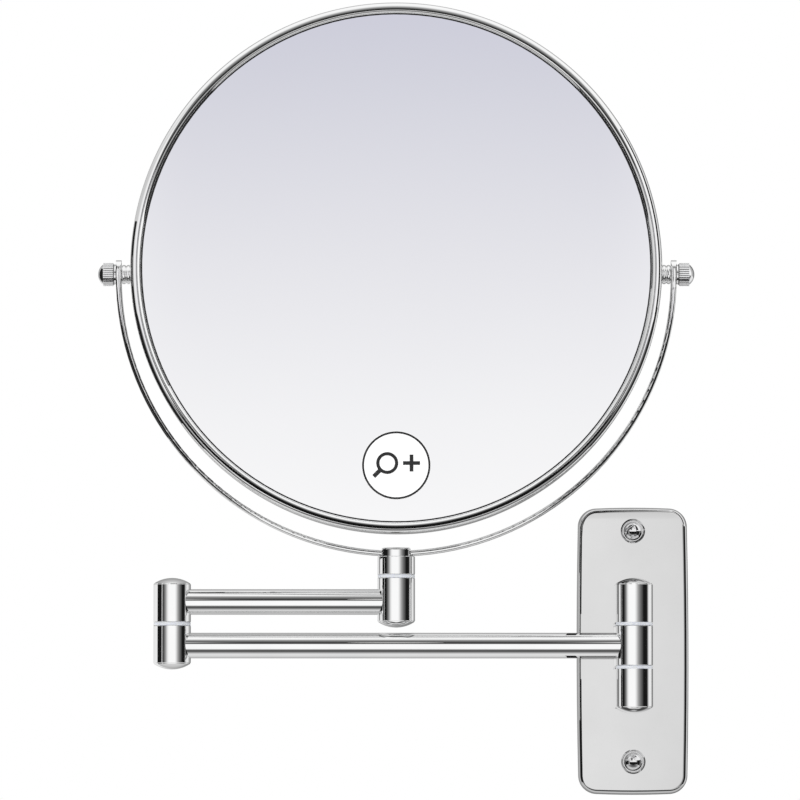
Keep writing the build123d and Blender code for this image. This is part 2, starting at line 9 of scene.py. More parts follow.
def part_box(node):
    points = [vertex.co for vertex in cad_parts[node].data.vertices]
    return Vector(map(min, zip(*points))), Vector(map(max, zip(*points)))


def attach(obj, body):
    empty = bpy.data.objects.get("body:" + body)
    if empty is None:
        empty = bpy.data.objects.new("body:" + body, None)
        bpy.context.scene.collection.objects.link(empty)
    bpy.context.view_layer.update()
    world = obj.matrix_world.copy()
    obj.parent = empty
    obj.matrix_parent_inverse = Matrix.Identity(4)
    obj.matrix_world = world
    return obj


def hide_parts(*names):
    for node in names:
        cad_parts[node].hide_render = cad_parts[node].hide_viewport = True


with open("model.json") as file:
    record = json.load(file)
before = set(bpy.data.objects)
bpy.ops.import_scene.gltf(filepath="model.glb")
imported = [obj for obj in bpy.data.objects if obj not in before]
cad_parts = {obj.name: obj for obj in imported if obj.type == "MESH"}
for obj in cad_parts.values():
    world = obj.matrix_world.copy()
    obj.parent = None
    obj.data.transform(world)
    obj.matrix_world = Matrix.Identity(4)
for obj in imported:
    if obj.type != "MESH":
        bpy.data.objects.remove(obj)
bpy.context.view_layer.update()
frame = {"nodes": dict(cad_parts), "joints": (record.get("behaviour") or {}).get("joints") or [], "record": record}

NODES = frame["nodes"]
MM = 0.001

# ---- places read from the frame ----


def middle(node):
    """The middle of a node's box."""
    low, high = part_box(node)
    return (low + high) / 2


JOINT_AT = {j["name"]: Vector(j["pos_m"]) for j in frame["joints"]}
PIVOT = JOINT_AT["mirror_tilt"]
HINGE = JOINT_AT["wall_swing"]
HEAD = middle("rim_band")                 # centre of the round mirror
RIM_R = (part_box("front_bezel")[1].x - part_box("front_bezel")[0].x) / 2
RIM_FRONT_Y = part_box("front_bezel")[0].y
RIM_BACK_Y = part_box("rear_bezel")[1].y
GLASS_R = (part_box("magnifying_glass")[1].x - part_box("magnifying_glass")[0].x) / 2

# ---- material helpers ----

BUMP_DEPTH = 0.1 * MM
NOISE_ROUGHNESS = 0.55


def new_material(name):
    """A node material with an empty tree but for its output and one Principled shader."""
    material = bpy.data.materials.new(name)
    material.use_nodes = True
    tree = material.node_tree
    tree.nodes.clear()
    out = tree.nodes.new("ShaderNodeOutputMaterial")
    shader = tree.nodes.new("ShaderNodeBsdfPrincipled")
    tree.links.new(shader.outputs["BSDF"], out.inputs["Surface"])
    return material, tree, shader


def noise(tree, scale, detail=4.0, stretch=(1, 1, 1)):
    """A noise texture in object space; scale is in cycles per metre."""
    where = tree.nodes.new("ShaderNodeTexCoord")
    mapping = tree.nodes.new("ShaderNodeMapping")
    mapping.inputs["Scale"].default_value = stretch
    texture = tree.nodes.new("ShaderNodeTexNoise")
    texture.inputs["Scale"].default_value = scale
    texture.inputs["Detail"].default_value = detail
    texture.inputs["Roughness"].default_value = NOISE_ROUGHNESS
    tree.links.new(where.outputs["Object"], mapping.inputs["Vector"])
    tree.links.new(mapping.outputs["Vector"], texture.inputs["Vector"])
    return texture.outputs["Fac"]


def ramp(tree, value, stops, into=None):
    """Sends a value through a colour ramp of (position, grey or colour) stops. The colour goes into a
    socket if one is given, and is returned."""
    node = tree.nodes.new("ShaderNodeValToRGB")
    elements = node.color_ramp.elements
    while len(elements) < len(stops):
        elements.new(0.5)
    for element, (position, colour) in zip(elements, stops):
        element.position = position
        grey = isinstance(colour, (int, float))
        element.color = (colour, colour, colour, 1) if grey else (*colour, 1)
    tree.links.new(value, node.inputs["Fac"])
    if into is not None:
        tree.links.new(node.outputs["Color"], into)
    return node.outputs["Color"]


def bump(tree, height, shader, strength):
    """Roughens a shader's normal by a height."""
    node = tree.nodes.new("ShaderNodeBump")
    node.inputs["Strength"].default_value = strength
    node.inputs["Distance"].default_value = BUMP_DEPTH
    tree.links.new(height, node.inputs["Height"])
    tree.links.new(node.outputs["Normal"], shader.inputs["Normal"])


def math_node(tree, operation, a, b=None, c=None):
    """The result of an operation on numbers or sockets."""
    node = tree.nodes.new("ShaderNodeMath")
    node.operation = operation
    for socket, value in zip(node.inputs, (a, b, c)):
        if value is None:
            continue
        if isinstance(value, (int, float)):
            socket.default_value = value
        else:
            tree.links.new(value, socket)
    return node.outputs[0]


def smooth_step(tree, value, start, end):
    """0 before start and 1 after end, smooth between them. start may be the greater."""
    node = tree.nodes.new("ShaderNodeMapRange")
    node.interpolation_type = "SMOOTHSTEP"
    flipped = start > end
    node.inputs["From Min"].default_value = min(start, end)
    node.inputs["From Max"].default_value = max(start, end)
    node.inputs["To Min"].default_value = 1.0 if flipped else 0.0
    node.inputs["To Max"].default_value = 0.0 if flipped else 1.0
    tree.links.new(value, node.inputs["Value"])
    return node.outputs["Result"]


def object_xyz(tree):
    """The three places of a point in object space, in metres."""
    where = tree.nodes.new("ShaderNodeTexCoord")
    parts = tree.nodes.new("ShaderNodeSeparateXYZ")
    tree.links.new(where.outputs["Object"], parts.inputs[0])
    return parts.outputs


def mix(tree, factor, a, b):
    """Blends from a, at factor 0, to b, at factor 1; both are colours or sockets."""
    node = tree.nodes.new("ShaderNodeMix")
    node.data_type = "RGBA"
    colours = [s for s in node.inputs if s.type == "RGBA"]
    tree.links.new(factor, node.inputs[0])
    for socket, value in zip(colours, (a, b)):
        if isinstance(value, tuple):
            socket.default_value = (*value, 1)
        else:
            tree.links.new(value, socket)
    return next(s for s in node.outputs if s.type == "RGBA")


# ---- the object's materials ----

KNURL_CREST_R = 4.6 * MM
GROOVE_START = 0.04 * MM      # how far below the crests the painted groove shade starts
GROOVE_DEEP = 0.2 * MM        # and where it is full
KNOB_DOME = 2.2 * MM          # just over the length of a knob's smooth dome
KNURL_FADE = 0.02 * MM
KNURL_ROUGHNESS = 0.26
# painted shade: the base colour of the knurl's grooves
GROOVE_PAINTED_SHADE = (0.20, 0.20, 0.205)


def chrome(name, dark, light, rough_low, rough_high):
    """Polished plating: a faint tint drift, and a haze that comes and goes."""
    material, tree, shader = new_material(name)
    shader.inputs["Metallic"].default_value = 1.0
    ramp(tree, noise(tree, 35), [(0.3, dark), (0.7, light)], shader.inputs["Base Color"])
    haze = [(0.35, rough_low), (0.75, rough_high)]
    ramp(tree, noise(tree, 90, 6), haze, shader.inputs["Roughness"])
    return material


def knurled_chrome(name):
    """Chrome whose knurl grooves, found by their distance from the tilt axis, are painted dark as shade."""
    material, tree, shader = new_material(name)
    shader.inputs["Metallic"].default_value = 1.0
    x, y, z = object_xyz(tree)
    across = math_node(tree, "SUBTRACT", y, PIVOT.y)
    above = math_node(tree, "SUBTRACT", z, PIVOT.z)
    across_squared = math_node(tree, "MULTIPLY", across, across)
    radius = math_node(tree, "SQRT", math_node(tree, "MULTIPLY_ADD", above, above, across_squared))
    deep = smooth_step(tree, radius, KNURL_CREST_R - GROOVE_START, KNURL_CREST_R - GROOVE_DEEP)
    outward = math_node(tree, "ABSOLUTE", math_node(tree, "SUBTRACT", x, PIVOT.x))
    knurl_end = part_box("right_knob")[1].x - PIVOT.x - KNOB_DOME
    on_knurl = smooth_step(tree, outward, knurl_end + KNURL_FADE, knurl_end - KNURL_FADE)
    # painted shade: the grooves of the knurl are darkened in the base colour
    groove_shade = math_node(tree, "MULTIPLY", deep, on_knurl)
    crest_tint = ramp(tree, noise(tree, 60), [(0.3, (0.88, 0.885, 0.89)), (0.7, (0.94, 0.94, 0.945))])
    colour = mix(tree, groove_shade, crest_tint, GROOVE_PAINTED_SHADE)
    tree.links.new(colour, shader.inputs["Base Color"])
    satin = math_node(tree, "MULTIPLY", on_knurl, KNURL_ROUGHNESS)
    worn = math_node(tree, "MULTIPLY_ADD", noise(tree, 200, 5), 0.06, satin)
    tree.links.new(worn, shader.inputs["Roughness"])
    return material


def plated_steel(name):
    """Zinc-plated fastener steel with a fine grain and a passivation tint."""
    material, tree, shader = new_material(name)
    shader.inputs["Metallic"].default_value = 1.0
    tints = [(0.3, (0.50, 0.51, 0.55)), (0.55, (0.63, 0.62, 0.58)), (0.75, (0.56, 0.58, 0.60))]
    ramp(tree, noise(tree, 120, 5), tints, shader.inputs["Base Color"])
    ramp(tree, noise(tree, 700, 6), [(0.3, 0.25), (0.7, 0.42)], shader.inputs["Roughness"])
    bump(tree, noise(tree, 1500, 4), shader, 0.15)
    return material


def mirror_glass(name):
    """Silvered glass: a near perfect reflector with a trace of blue and of wiped haze."""
    material, tree, shader = new_material(name)
    shader.inputs["Metallic"].default_value = 1.0
    tints = [(0.3, (0.935, 0.942, 0.957)), (0.7, (0.945, 0.952, 0.965))]
    ramp(tree, noise(tree, 8, 2), tints, shader.inputs["Base Color"])
    haze = noise(tree, 25, 5, stretch=(1, 1, 3))
    ramp(tree, haze, [(0.45, 0.0), (0.9, 0.012)], shader.inputs["Roughness"])
    return material


def nylon(name):
    """Milky translucent nylon."""
    material, tree, shader = new_material(name)
    shader.inputs["Subsurface Weight"].default_value = 0.4
    shader.inputs["Subsurface Radius"].default_value = (0.001, 0.001, 0.0012)
    shader.inputs["Coat Weight"].default_value = 0.3
    shader.inputs["Coat Roughness"].default_value = 0.2
    tints = [(0.3, (0.60, 0.62, 0.66)), (0.7, (0.68, 0.70, 0.74))]
    ramp(tree, noise(tree, 300, 4), tints, shader.inputs["Base Color"])
    ramp(tree, noise(tree, 900, 4), [(0.3, 0.3), (0.7, 0.45)], shader.inputs["Roughness"])
    bump(tree, noise(tree, 1200, 3), shader, 0.1)
    return material


def plain(name, dark, light, rough, grain=600, depth=0.2):
    """A dielectric with a grain: rubber, card or printed film."""
    material, tree, shader = new_material(name)
    ramp(tree, noise(tree, grain, 5), [(0.3, dark), (0.7, light)], shader.inputs["Base Color"])
    worn = [(0.3, rough), (0.7, rough + 0.15)]
    ramp(tree, noise(tree, grain * 2, 4), worn, shader.inputs["Roughness"])
    bump(tree, noise(tree, grain * 3, 3), shader, depth)
    return material


MATERIALS = {
    "chrome": chrome("polished_chrome", (0.925, 0.928, 0.93), (0.965, 0.965, 0.965), 0.01, 0.03),
    "plain_steel": plated_steel("zinc_plated_steel"),
    "mirror_glass": mirror_glass("silvered_glass"),
    "nylon": nylon("milky_nylon"),
    "black_seal": plain("black_rubber", (0.006, 0.006, 0.006), (0.015, 0.015, 0.015), 0.45),
    "inner_board": plain("grey_card", (0.52, 0.51, 0.48), (0.62, 0.61, 0.58), 0.7, 300),
    "sticker": plain("white_film", (0.90, 0.90, 0.90), (0.95, 0.95, 0.95), 0.35, 200, 0.05),
}
KNURLED = knurled_chrome("knurled_chrome")
PLATE_CHROME = chrome("brushed_plate_chrome", (0.70, 0.70, 0.70), (0.74, 0.74, 0.74), 0.02, 0.04)
SCREW_CHROME = chrome("screw_chrome", (0.80, 0.80, 0.81), (0.88, 0.88, 0.88), 0.01, 0.04)
BLACK_PRINT = plain("black_print", (0.010, 0.010, 0.011), (0.02, 0.02, 0.021), 0.4, 400, 0.05)


def material_of(name, slot_name):
    """What a CAD node is made of: its slot's material, but for three kinds of node."""
    if name.endswith("_knob"):
        return KNURLED
    if name == "wall_plate":
        return PLATE_CHROME
    if name == "wall_screws":
        return SCREW_CHROME
    return MATERIALS[slot_name]


for subpart in frame["record"]["subparts"]:
    node = NODES[subpart["node"]]
    node.data.materials.clear()
    node.data.materials.append(material_of(subpart["node"], subpart["material_slot"]))

# ---- pieces made here ----

SEGMENTS = 384                # round the mirror
SHARP = math.radians(35)      # edges sharper than this are shaded as edges


def add_piece(name, mesh, body, material, replaced=()):
    """Puts a mesh in the scene as a piece that rides on a body, stands for CAD nodes and has a slot."""
    mesh.materials.append(material)
    mesh.shade_smooth()
    mesh.set_sharp_from_angle(angle=SHARP)
    piece = bpy.data.objects.new(name, mesh)
    bpy.context.scene.collection.objects.link(piece)
    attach(piece, body)
    if replaced:
        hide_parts(*replaced)


def round_head(radius, angle, y):
    """A point about the mirror's axis. The angle is 0 to the user's right and grows upwards."""
    return Vector((HEAD.x + radius * math.cos(angle), y, HEAD.z + radius * math.sin(angle)))


def turned(name, profile):
    """A mesh turned about the mirror's axis from a closed profile of (radius, y) points. A point with
    no radius is a pole."""
    mesh = bpy.data.meshes.new(name)
    shape = bmesh.new()
    rings = []
    for radius, y in profile:
        if radius == 0:
            rings.append([shape.verts.new((HEAD.x, y, HEAD.z))])
            continue
        ring = []
        for i in range(SEGMENTS):
            ring.append(shape.verts.new(round_head(radius, 2 * math.pi * i / SEGMENTS, y)))
        rings.append(ring)
    closed = profile[0][0] != 0
    pairs = list(zip(rings, rings[1:] + rings[:1])) if closed else list(zip(rings, rings[1:]))
    for near, far in pairs:
        for i in range(SEGMENTS):
            j = (i + 1) % SEGMENTS
            corners = [near[i % len(near)], far[i % len(far)], far[j % len(far)], near[j % len(near)]]
            shape.faces.new(list(dict.fromkeys(corners)))      # a pole is one corner, not two
    bmesh.ops.recalc_face_normals(shape, faces=shape.faces)
    shape.to_mesh(mesh)
    shape.free()
    return mesh


def arc(centre_r, centre_y, radius, start, end, steps):
    """Points of an arc in a turned profile. 0 degrees points outwards and 90 to +Y."""
    points = []
    for i in range(steps + 1):
        angle = math.radians(start + (end - start) * i / steps)
        points.append((centre_r + radius * math.cos(angle), centre_y + radius * math.sin(angle)))
    return points


PIVOT_HOLE_R = 2.9 * MM
PIVOT_HOLE_SEGMENTS = 48
BEAD_R = 2.25 * MM
BEAD_STEPS = 36
BAND_WALL = 1.25 * MM
SEAM = 0.12 * MM              # half the width of the seam between the bezels, and its depth
SEAM_EDGE = 0.2 * MM          # a strip beside the seam that keeps the band's shading flat
LIP_Y = 7.4 * MM              # inner face of each bezel's lip, from the head's mid plane
LIP_BEVEL = 0.3 * MM          # inside, between the band and the lip


def drilled(mesh):
    """The mesh with the side pivots' holes bored through it along X."""
    shape = bmesh.new()
    size = {"radius1": PIVOT_HOLE_R, "radius2": PIVOT_HOLE_R, "depth": 3 * RIM_R}
    bmesh.ops.create_cone(shape, cap_ends=True, segments=PIVOT_HOLE_SEGMENTS, **size)
    bmesh.ops.rotate(shape, verts=shape.verts, matrix=Matrix.Rotation(math.radians(90), 3, "Y"))
    bmesh.ops.translate(shape, verts=shape.verts, vec=(HEAD.x, PIVOT.y, PIVOT.z))
    drill_mesh = bpy.data.meshes.new("drill")
    shape.to_mesh(drill_mesh)
    shape.free()
    drill = bpy.data.objects.new("drill", drill_mesh)
    work = bpy.data.objects.new("work", mesh)
    for thing in (drill, work):
        bpy.context.scene.collection.objects.link(thing)
    cut = work.modifiers.new("holes", "BOOLEAN")
    cut.operation = "DIFFERENCE"
    cut.object = drill
    evaluated = work.evaluated_get(bpy.context.evaluated_depsgraph_get())
    result = bpy.data.meshes.new_from_object(evaluated)
    for thing in (drill, work):
        bpy.data.objects.remove(thing)
    for spent in (drill_mesh, mesh):
        bpy.data.meshes.remove(spent)
    return result


def make_bezels():
    """The two halves of the round frame, each a rolled bead and a plain band that meet at the seam,
    with the holes of the side pivots."""
    for name, face, outer_y in (("front_bezel", -1, RIM_FRONT_Y), ("rear_bezel", 1, RIM_BACK_Y)):
        bead_y = outer_y - face * BEAD_R
        lip_y = HEAD.y + face * LIP_Y
        lip_angle = math.degrees(math.asin((lip_y - bead_y) / BEAD_R))
        bead = arc(RIM_R - BEAD_R, bead_y, BEAD_R, face * 180 - lip_angle, 0, BEAD_STEPS)
        seam_y = HEAD.y + face * SEAM
        inside = [
            (RIM_R, seam_y + face * SEAM_EDGE),
            (RIM_R, seam_y),
            (RIM_R - SEAM, HEAD.y),
            (RIM_R - BAND_WALL, HEAD.y),
            (RIM_R - BAND_WALL, lip_y - face * LIP_BEVEL),
            (RIM_R - BAND_WALL - LIP_BEVEL, lip_y),
        ]
        mesh = drilled(turned(f"{name}_shell", bead + inside))
        add_piece(f"{name}_shell", mesh, "mirror_head", MATERIALS["chrome"], [name])


DISH_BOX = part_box("magnifying_glass")
GLASS_THICKNESS = 2.0 * MM
DISH_SAG = DISH_BOX[1].y - DISH_BOX[0].y - GLASS_THICKNESS
DISH_SPHERE_R = (GLASS_R**2 + DISH_SAG**2) / (2 * DISH_SAG)
DISH_RIM_Y = DISH_BOX[0].y
GLASS_STEPS = 56              # from a mirror's middle to its edge
BACK_STRIDE = 8               # the back of the concave one has only every eighth of them


def dish_y(radius, lift=0.0):
    """Y of the concave face at a distance from the mirror's axis; lift is towards the user."""
    apex = DISH_RIM_Y + DISH_SAG
    return apex - (DISH_SPHERE_R - math.sqrt(DISH_SPHERE_R**2 - radius**2)) - lift


def make_glasses():
    """Both mirrors as finely divided discs, so that their reflections run smoothly."""
    radii = [GLASS_R * i / GLASS_STEPS for i in range(GLASS_STEPS + 1)]
    front = [(radius, dish_y(radius)) for radius in radii]
    back = [(radius, y + GLASS_THICKNESS) for radius, y in reversed(front[::BACK_STRIDE])]
    glass = MATERIALS["mirror_glass"]
    mesh = turned("concave_mirror", front + back)
    add_piece("concave_mirror", mesh, "mirror_head", glass, ["magnifying_glass"])
    low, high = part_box("flat_glass")
    flat = [(0, high.y), (GLASS_R / 2, high.y), (GLASS_R, high.y), (GLASS_R, low.y), (0, low.y)]
    mesh = turned("flat_mirror", flat)
    add_piece("flat_mirror", mesh, "mirror_head", glass, ["flat_glass"])


make_bezels()
make_glasses()

# ---- the print on the round sticker ----

MARK_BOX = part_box("face_mark")
MARK = (MARK_BOX[0] + MARK_BOX[1]) / 2
MARK_R = (MARK_BOX[1].x - MARK_BOX[0].x) / 2
INK = 0.03 * MM               # how thick the print is
FILM = 0.12 * MM              # and the sticker under it
RING_INSET = 0.15 * MM
RING_LINE = 0.8 * MM
RING_STEPS = 128
# places on the sticker, from its middle: across and up
LENS = (-3.6 * MM, 0.9 * MM)
LENS_INNER_R = 3.1 * MM
LENS_OUTER_R = 4.4 * MM
LENS_STEPS = 72
HANDLE_START = 2.9 * MM       # down and to the left from the lens's middle
HANDLE_END = 5.4 * MM
HANDLE_WIDTH = 1.7 * MM
PLUS = (6.1 * MM, 0.9 * MM)
PLUS_HALF = 3.4 * MM
PLUS_WIDTH = 1.5 * MM
BAR_STEPS = 8
WELD = 0.0001 * MM            # points closer than this are one


def on_film(x, z, lift):
    """A point above the sticker, from its place seen from the front, relative to its middle."""
    at_x = MARK.x + x
    at_z = MARK.z + z
    radius = math.hypot(at_x - HEAD.x, at_z - HEAD.z)
    return Vector((at_x, dish_y(radius, FILM + lift), at_z))


def ink_patch(shape, outline_rows):
    """Adds a thin raised patch: each row is a list of (x, z) points, and rows are joined to the next."""
    layers = []
    for lift in (INK, 0.0):
        layers.append([[shape.verts.new(on_film(x, z, lift)) for x, z in row] for row in outline_rows])
    top, bottom = layers
    rows, columns = len(outline_rows), len(outline_rows[0])
    for r in range(rows - 1):
        for c in range(columns - 1):
            quad = [(r, c), (r + 1, c), (r + 1, c + 1), (r, c + 1)]
            shape.faces.new([top[a][b] for a, b in quad])
            shape.faces.new([bottom[a][b] for a, b in reversed(quad)])
    rim = [(0, c) for c in range(columns)] + [(r, columns - 1) for r in range(1, rows)]
    rim += [(rows - 1, c) for c in range(columns - 2, -1, -1)] + [(r, 0) for r in range(rows - 2, 0, -1)]
    for a, b in zip(rim, rim[1:] + rim[:1]):
        shape.faces.new([top[a[0]][a[1]], top[b[0]][b[1]], bottom[b[0]][b[1]], bottom[a[0]][a[1]]])


def ring_rows(centre_x, centre_z, inner, outer, segments):
    """Rows of a full ring; the last row repeats the first place."""
    rows = []
    for i in range(segments + 1):
        angle = 2 * math.pi * i / segments
        direction = (math.cos(angle), math.sin(angle))
        rows.append([(centre_x + r * direction[0], centre_z + r * direction[1]) for r in (inner, outer)])
    return rows


def bar_rows(start, end, width):
    """Rows of a straight bar between two points."""
    along = (Vector(end) - Vector(start)).normalized()
    side = Vector((-along.y, along.x)) * width / 2
    rows = []
    for i in range(BAR_STEPS + 1):
        at = Vector(start).lerp(Vector(end), i / BAR_STEPS)
        rows.append([(at - side)[:], (at + side)[:]])
    return rows


def make_print():
    """A thin ring near the edge, and a plain magnifier sign with a plus beside it."""
    shape = bmesh.new()
    ink_patch(shape, ring_rows(0, 0, MARK_R - RING_INSET - RING_LINE, MARK_R - RING_INSET, RING_STEPS))
    ink_patch(shape, ring_rows(*LENS, LENS_INNER_R, LENS_OUTER_R, LENS_STEPS))
    handle = [(LENS[0] - slope, LENS[1] - slope) for slope in (HANDLE_START, HANDLE_END)]
    ink_patch(shape, bar_rows(*handle, HANDLE_WIDTH))
    x, z = PLUS
    middle_z = PLUS_WIDTH / 2
    ink_patch(shape, bar_rows((x - PLUS_HALF, z), (x + PLUS_HALF, z), PLUS_WIDTH))
    ink_patch(shape, bar_rows((x, z + middle_z), (x, z + PLUS_HALF), PLUS_WIDTH))
    ink_patch(shape, bar_rows((x, z - PLUS_HALF), (x, z - middle_z), PLUS_WIDTH))
    bmesh.ops.remove_doubles(shape, verts=shape.verts, dist=WELD)
    bmesh.ops.recalc_face_normals(shape, faces=shape.faces)
    mesh = bpy.data.meshes.new("mark_print")
    shape.to_mesh(mesh)
    shape.free()
    add_piece("mark_print", mesh, "mirror_head", BLACK_PRINT)


make_print()

# ---- the wall screws' threads ----

MOUNTS = {m["name"]: m for m in frame["record"]["mounts"]}
SCREW_SPACING = MOUNTS["wall_screw_shanks"]["dims"]["pcd_mm"] * MM
THREAD_ROOT_R = 1.98 * MM
THREAD_CREST_R = 2.22 * MM
THREAD_PITCH = 1.6 * MM
THREAD_HALF_ROOT = 0.42 * MM  # half the ridge's width at its root
THREAD_HALF_CREST = 0.07 * MM
THREAD_START_Y = 0.5 * MM
SCREW_POINT = 4.2 * MM        # the screw's point, which has no thread
THREAD_STEPS = 32             # in one turn


def make_threads():
    """A helical ridge round each wall screw's shank, down to its point."""
    shape = bmesh.new()
    end_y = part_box("wall_screws")[1].y - SCREW_POINT
    steps = int((end_y - THREAD_START_Y) / THREAD_PITCH * THREAD_STEPS)
    for z in (-SCREW_SPACING / 2, SCREW_SPACING / 2):
        previous = None
        for i in range(steps + 1):
            angle = 2 * math.pi * i / THREAD_STEPS
            y = THREAD_START_Y + THREAD_PITCH * i / THREAD_STEPS
            taper = min(1.0, i / THREAD_STEPS, (steps - i) / THREAD_STEPS)
            top_r = THREAD_ROOT_R + (THREAD_CREST_R - THREAD_ROOT_R) * taper
            section = [
                (THREAD_ROOT_R, -THREAD_HALF_ROOT), (top_r, -THREAD_HALF_CREST),
                (top_r, THREAD_HALF_CREST), (THREAD_ROOT_R, THREAD_HALF_ROOT),
            ]
            row = []
            for radius, shift in section:
                place = (radius * math.cos(angle), y + shift, z + radius * math.sin(angle))
                row.append(shape.verts.new(place))
            if previous is None:
                shape.faces.new(row)
            else:
                for k in range(4):
                    n = (k + 1) % 4
                    shape.faces.new([previous[k], previous[n], row[n], row[k]])
            previous = row
        shape.faces.new(list(reversed(previous)))
    bmesh.ops.recalc_face_normals(shape, faces=shape.faces)
    mesh = bpy.data.meshes.new("screw_threads")
    shape.to_mesh(mesh)
    shape.free()
    add_piece("screw_threads", mesh, "wall_mount", MATERIALS["chrome"])


make_threads()

# ---- the room: what the polished metal mirrors ----


def angle_ramp(tree, angle, stops):
    """Brightness by an angle in radians, from (degrees, grey or colour) stops between -180 and 180."""
    share = math_node(tree, "MULTIPLY_ADD", angle, 1 / (2 * math.pi), 0.5)
    return ramp(tree, share, [(0.5 + degrees / 360, colour) for degrees, colour in stops])


# by climb, in degrees: 0 towards the user, 90 straight up. The band from -15 to 23 is what the
# concave mirror shows, from its top to its bottom.
OVERHEAD = [
    (-180, 0.30), (-150, 0.40), (-134, 0.55), (-114, 0.68), (-98, 0.76), (-84, 0.78), (-72, 0.50),
    (-61, 0.20), (-51, 0.06), (-41, 0.13), (-33, 0.60), (-25, 0.85), (-17, (0.60, 0.597, 0.70)),
    (-8, (0.690, 0.688, 0.755)), (4, (0.833, 0.825, 0.855)), (14, (0.945, 0.938, 0.942)),
    (24, (1.02, 1.01, 1.0)), (26, 0.30), (34, 0.55), (42, 0.80), (52, 0.95),
    (92, 1.02), (106, 0.95), (122, 0.62), (140, 0.42), (160, 0.32), (180, 0.30),
]
# by turn, in degrees, at the mirror's height: 90 is to the user's right
AROUND = [
    (-180, 0.30), (-145, 0.40), (-130, 0.60), (-60, 0.62), (-40, 0.80), (-20, 1.0), (94, 1.0),
    (104, 0.50), (125, 0.45), (140, 0.15), (165, 0.15), (180, 0.30),
]
# AROUND holds only for level directions to one side: it takes over as a direction's share along X
# grows and its share along Z falls
SIDEWAYS_FROM, SIDEWAYS_FULL = 0.22, 0.45
LEVEL_FROM, LEVEL_FULL = 0.75, 0.35
DULL_LIGHT = (1.1, 1.1, 1.1)
WHITE = (1.0, 1.0, 1.0)


def make_world():
    """A white studio with bands of light and dark. The camera itself sees plain white, and dull
    surfaces are lit evenly."""
    world = bpy.data.worlds.new("studio")
    bpy.context.scene.world = world
    world.use_nodes = True
    tree = world.node_tree
    tree.nodes.clear()
    out = tree.nodes.new("ShaderNodeOutputWorld")
    shine = tree.nodes.new("ShaderNodeBackground")
    where = tree.nodes.new("ShaderNodeTexCoord")
    parts = tree.nodes.new("ShaderNodeSeparateXYZ")
    tree.links.new(where.outputs["Generated"], parts.inputs[0])
    x, y, z = parts.outputs
    forward = math_node(tree, "MULTIPLY", y, -1.0)
    turn = math_node(tree, "ARCTAN2", x, forward)      # 0 towards the user, +90 to the right
    climb = math_node(tree, "ARCTAN2", z, forward)     # 0 towards the user, +90 straight up
    over = angle_ramp(tree, climb, OVERHEAD)
    round_about = angle_ramp(tree, turn, AROUND)
    sideways = smooth_step(tree, math_node(tree, "ABSOLUTE", x), SIDEWAYS_FROM, SIDEWAYS_FULL)
    level = smooth_step(tree, math_node(tree, "ABSOLUTE", z), LEVEL_FROM, LEVEL_FULL)
    seen = mix(tree, math_node(tree, "MULTIPLY", sideways, level), over, round_about)
    ray = tree.nodes.new("ShaderNodeLightPath")
    even = mix(tree, ray.outputs["Is Diffuse Ray"], seen, DULL_LIGHT)
    final = mix(tree, ray.outputs["Is Camera Ray"], even, WHITE)
    tree.links.new(final, shine.inputs["Color"])
    shine.inputs["Strength"].default_value = 1.0
    tree.links.new(shine.outputs[0], out.inputs["Surface"])


def add_reflected(mesh, material):
    """Puts a mesh in the scene as a part of the studio. It is seen in shiny surfaces but not by the
    camera, and it casts no shadow."""
    mesh.materials.append(material)
    thing = bpy.data.objects.new(mesh.name, mesh)
    bpy.context.scene.collection.objects.link(thing)
    thing.visible_camera = False
    thing.visible_diffuse = False
    thing.visible_shadow = False
    thing.visible_transmission = False


def emission_only(name):
    """A material that only glows. Returns it, its tree, the socket of its colour and the socket that
    is 1 where it is solid and 0 where it is clear."""
    material = bpy.data.materials.new(name)
    material.use_nodes = True
    tree = material.node_tree
    tree.nodes.clear()
    out = tree.nodes.new("ShaderNodeOutputMaterial")
    light = tree.nodes.new("ShaderNodeEmission")
    clear = tree.nodes.new("ShaderNodeBsdfTransparent")
    blend = tree.nodes.new("ShaderNodeMixShader")
    blend.inputs[0].default_value = 1.0
    tree.links.new(clear.outputs[0], blend.inputs[1])
    tree.links.new(light.outputs[0], blend.inputs[2])
    tree.links.new(blend.outputs[0], out.inputs["Surface"])
    return material, tree, light.inputs["Color"], blend.inputs[0]


# by turn from the middle of the arms: a white panel in front, black flags at both sides, and
# white again behind them
SCREEN = [
    (-180, 0.3), (-170, 0.45), (-158, 0.8), (-145, 0.95), (-130, 0.40), (-117, 0.16),
    (-104, 0.01), (-64, 0.01), (-57, 0.08), (-50, 0.20), (-43, 0.40), (-37, 0.70),
    (-30, 0.92), (-24, 1.0), (10, 1.0), (17, 0.85), (24, 0.60), (30, 0.40),
    (38, 0.25), (45, 0.15), (55, 0.07), (62, 0.01), (84, 0.01), (90, 0.25),
    (98, 0.85), (121, 0.85), (134, 0.5), (160, 0.2), (180, 0.3),
]
SCREEN_R = 0.60
SCREEN_LOW = -0.36
SCREEN_TOP = 0.095
SCREEN_CENTRE = Vector((HEAD.x + 0.005, HINGE.y, 0))
SCREEN_SEGMENTS = 128


